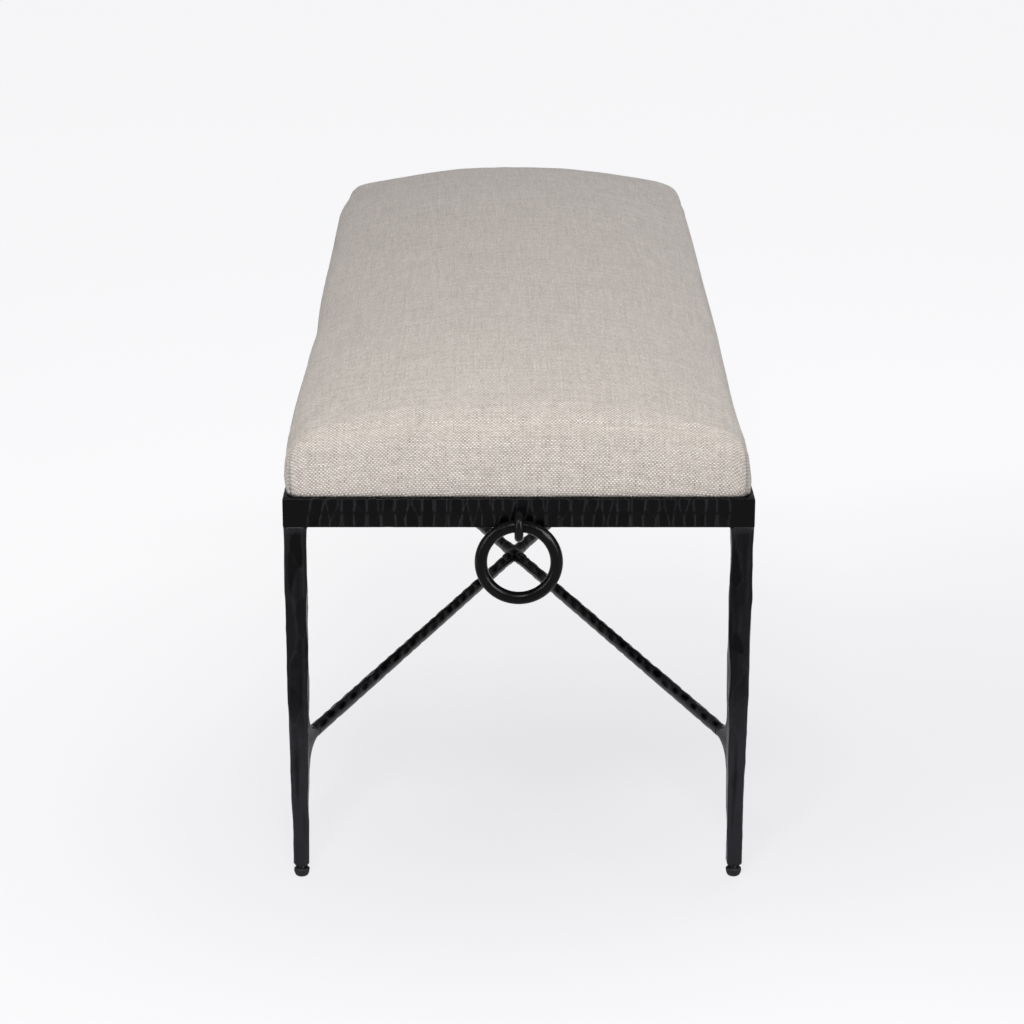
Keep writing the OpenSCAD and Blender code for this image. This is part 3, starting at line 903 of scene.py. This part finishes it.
# ---- hanging rings ----
# Round iron bar turned into a ring and forge welded shut, still faintly facetted. Each
# ring hangs loosely in a staple that is riveted through the end apron.
ring_low, ring_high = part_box("ring_front")
ring_bar = (ring_high.y - ring_low.y) / 2
ring_radius = (ring_high.x - ring_low.x) / 2 - ring_bar
ring_y = (ring_low.y + ring_high.y) / 2
ring_z = (ring_low.z + ring_high.z) / 2
RING_BLOWS = 26
FULL_TURN = {"axis": (0, 0, 1), "cent": (0, 0, 0), "angle": math.tau, "use_merge": True}
for seed, (name, end) in enumerate((("ring_front", -1), ("ring_back", 1))):
    random = np.random.default_rng(50 + seed)
    bm = bmesh.new()
    bmesh.ops.create_circle(bm, segments=28, radius=ring_bar)
    bmesh.ops.rotate(bm, verts=bm.verts, matrix=Matrix.Rotation(math.pi / 2, 3, "X"))
    bmesh.ops.translate(bm, verts=bm.verts, vec=(ring_radius, 0, 0))
    bmesh.ops.spin(bm, geom=bm.edges[:], steps=120, **FULL_TURN)
    bmesh.ops.recalc_face_normals(bm, faces=bm.faces)
    blows = []
    for _ in range(RING_BLOWS):
        angle = random.uniform(0, math.tau)
        tip = random.choice((0, 0.6, 1.2, -0.6, -1.2)) + random.normal(0, 0.15)
        out = unit(math.cos(angle), math.sin(angle), 0)
        facing = out * math.cos(tip) + np.array((0, 0, math.sin(tip)))
        middle = out * ring_radius
        blows.append((
            middle + facing * ring_bar,
            facing,
            unit(-math.sin(angle), math.cos(angle), 0),
            random.uniform(50, 140) * MM,
            random.uniform(16, 40) * MM,
            random.uniform(0.2, 0.5) * MM,
        ))
    strike(bm, blows, random, plain=0.10, spread=0.10, crest=0.30)
    stand = Matrix.Translation((0, ring_y * -end, ring_z))
    stand @= Matrix.Rotation(math.pi / 2, 4, "X")
    bmesh.ops.transform(bm, matrix=stand, verts=bm.verts)
    kept("forged_" + name, bm, black_iron, name, "forged_iron", name)

finished(iron_finish("forged_iron_plain", 0.2), "ring_staple_front", "ring_staple_back")

# ---- slats and screws ----
# Three flat iron slats are welded across the frame, and six pan-head wood screws go up
# through them into the deck.
finished(
    iron_finish("slat_iron", 0.45), "seat_slat_front", "seat_slat_middle", "seat_slat_back"
)
zinc = Finish("zinc_steel")
zinc_cloud = zinc.noise(zinc.coordinates(), 220, 3, 0.6)
zinc.set(
    Base_Color=zinc.mix(zinc_cloud, (0.42, 0.43, 0.45), (0.60, 0.61, 0.62)),
    Metallic=1.0,
    Roughness=0.28 + zinc_cloud * 0.22,
    Normal=zinc.bump(zinc_cloud, 0.00005),
)
finished(zinc.material, "seat_screws", "dust_cover_staples")

# ---- dust cover ----
# Black cambric stretched under the deck and stapled along its edges. The slats hold it up,
# and it sags a little between them, puckered at each staple.
dust_low, dust_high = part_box("dust_cover")
dust_x, dust_y = dust_high.x, dust_high.y
slat_low, slat_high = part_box("seat_slat_back")
slat_y = (slat_low.y + slat_high.y) / 2
slat_half = (slat_high.y - slat_low.y) / 2
STAPLE_PITCH = 45 * MM
cloth_thick = 0.4 * MM


def hang(y):
    """Share of the sag at a place along the cover: none at the slats and the ends."""
    spans = (
        (-dust_y, -slat_y - slat_half),
        (-slat_y + slat_half, -slat_half),
        (slat_half, slat_y - slat_half),
        (slat_y + slat_half, dust_y),
    )
    for low, high in spans:
        if low < y < high:
            return math.sin(math.pi * (y - low) / (high - low)) ** 2 * (high - low) / 0.37
    return 0


dust = bmesh.new()
size = Matrix.Diagonal((dust_x, dust_y, 1, 1))
bmesh.ops.create_grid(dust, x_segments=68, y_segments=212, size=1, matrix=size)
for vert in dust.verts:
    side = 1 - (vert.co.x / dust_x) ** 2
    from_side = dust_x - abs(vert.co.x)
    from_end = dust_y - abs(vert.co.y)
    pucker = math.cos(math.tau * vert.co.y / STAPLE_PITCH) * math.exp(-from_side / (9 * MM))
    pucker += math.cos(math.tau * vert.co.x / STAPLE_PITCH) * math.exp(-from_end / (9 * MM))
    vert.co.z = dust_high.z - cloth_thick - 0.1 * MM - 1.7 * MM * side * hang(vert.co.y)
    vert.co.z -= 0.22 * MM * (pucker + 1) * min(side * hang(vert.co.y) * 6, 1)
bmesh.ops.recalc_face_normals(dust, faces=dust.faces)
bmesh.ops.solidify(dust, geom=dust.faces[:], thickness=cloth_thick)
bmesh.ops.recalc_face_normals(dust, faces=dust.faces)
cambric = Finish("black_cambric")
cambric_place = cambric.coordinates()
cambric_bands = {"Vector": cambric_place, "Scale": 320.0}
threads = cambric.node("TexWave", {"bands_direction": "X"}, cambric_bands)
picks = cambric.node("TexWave", {"bands_direction": "Y"}, cambric_bands)
fuzz = cambric.noise(cambric_place, 900, 2, 0.6)
cambric_shade = threads * picks * 0.6 + fuzz * 0.4
cambric.set(
    Base_Color=cambric.mix(cambric_shade, (0.004, 0.004, 0.005), (0.034, 0.033, 0.036)),
    Roughness=0.95,
    Specular_IOR_Level=0.1,
    Normal=cambric.bump(threads + picks, 0.0001),
)
dust_piece = kept("cambric_dust_cover", dust, cambric.material, "frame", "cambric", "dust_cover")

# ---- levelling feet ----
# Each leg end holds a steel insert. A blackened stud screws into it, and a moulded black
# plastic pad with a ribbed grip is pressed on the stud's lower end.
foot_plastic = Finish("foot_plastic")
grain = foot_plastic.noise(foot_plastic.coordinates(), 900, 2, 0.5)
scuff = foot_plastic.noise(foot_plastic.coordinates(), 130, 3, 0.6)
foot_plastic.set(
    Base_Color=foot_plastic.mix(scuff, (0.003, 0.003, 0.004), (0.013, 0.013, 0.014)),
    Roughness=0.42 + scuff * 0.2,
    Specular_IOR_Level=0.2,
    Normal=foot_plastic.bump(grain, 0.00005),
)
black_zinc = Finish("black_zinc")
stain = black_zinc.noise(black_zinc.coordinates(), 400, 3, 0.6)
black_zinc.set(
    Base_Color=black_zinc.mix(stain, (0.010, 0.010, 0.011), (0.035, 0.034, 0.036)),
    Metallic=0.6,
    Roughness=0.35 + stain * 0.2,
    Normal=black_zinc.bump(stain, 0.00005),
)
RIBS = 14
THREAD_PITCH = 1.25 * MM
for name in LEGS:
    pad_low, pad_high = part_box("foot_pad_" + name)
    pad_x = (pad_low.x + pad_high.x) / 2
    pad_y = (pad_low.y + pad_high.y) / 2
    pad_wide = (pad_high.x - pad_low.x) / 2
    pad_high_by = pad_high.z - pad_low.z
    pad = bmesh.new()
    outline = (
        (0, 0), (0.50, 0), (0.66, 0.03), (0.78, 0.11), (0.88, 0.26), (0.95, 0.44), (0.99, 0.60),
        (1.0, 0.72), (0.985, 0.79), (0.93, 0.85), (0.80, 0.90), (0.68, 0.955), (0.60, 1.0),
        (0.56, 0.97), (0.55, 0.80), (0, 0.80),
    )
    rim = [pad.verts.new((r * pad_wide, 0, h * pad_high_by)) for r, h in outline]
    profile = [pad.edges.new(pair) for pair in zip(rim, rim[1:])]
    bmesh.ops.spin(pad, geom=profile, steps=RIBS * 6, **FULL_TURN)
    bmesh.ops.remove_doubles(pad, verts=pad.verts, dist=0.01 * MM)
    for vert in pad.verts:
        high = vert.co.z / pad_high_by
        reach = math.hypot(vert.co.x, vert.co.y)
        if 0.1 < high < 0.95 and reach > 0.75 * pad_wide:
            groove = (0.5 - 0.5 * math.cos(RIBS * math.atan2(vert.co.y, vert.co.x))) ** 2
            shrink = 1 - 0.11 * (1 - groove) * math.sin(math.pi * (high - 0.1) / 0.85)
            vert.co.x *= shrink
            vert.co.y *= shrink
    bmesh.ops.translate(pad, verts=pad.verts, vec=(pad_x, pad_y, pad_low.z))
    bmesh.ops.recalc_face_normals(pad, faces=pad.faces)
    foot = "foot_" + name
    pad_node = "foot_pad_" + name
    kept("ribbed_pad_" + name, pad, foot_plastic.material, foot, "foot_plastic", pad_node)

    stud_low, stud_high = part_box("foot_stud_" + name)
    stud_radius = (stud_high.x - stud_low.x) / 2
    stud_long = stud_high.z - stud_low.z
    stud = drawn_out(round_section(stud_radius, 20), stud_long, THREAD_PITCH / 4)
    for vert in stud.verts:
        turns = vert.co.z / THREAD_PITCH - math.atan2(vert.co.y, vert.co.x) / math.tau
        crest = abs(2 * (turns % 1) - 1)
        ends = min(vert.co.z, stud_long - vert.co.z) / (1.5 * MM)
        shrink = 1 - 0.10 * crest - 0.12 * max(1 - ends, 0)
        vert.co.x *= shrink
        vert.co.y *= shrink
    bmesh.ops.translate(stud, verts=stud.verts, vec=(pad_x, pad_y, stud_low.z))
    stud_node = "foot_stud_" + name
    kept("threaded_stud_" + name, stud, black_zinc.material, foot, "zinc_steel", stud_node)
    finished(black_zinc.material, "leg_insert_" + name)
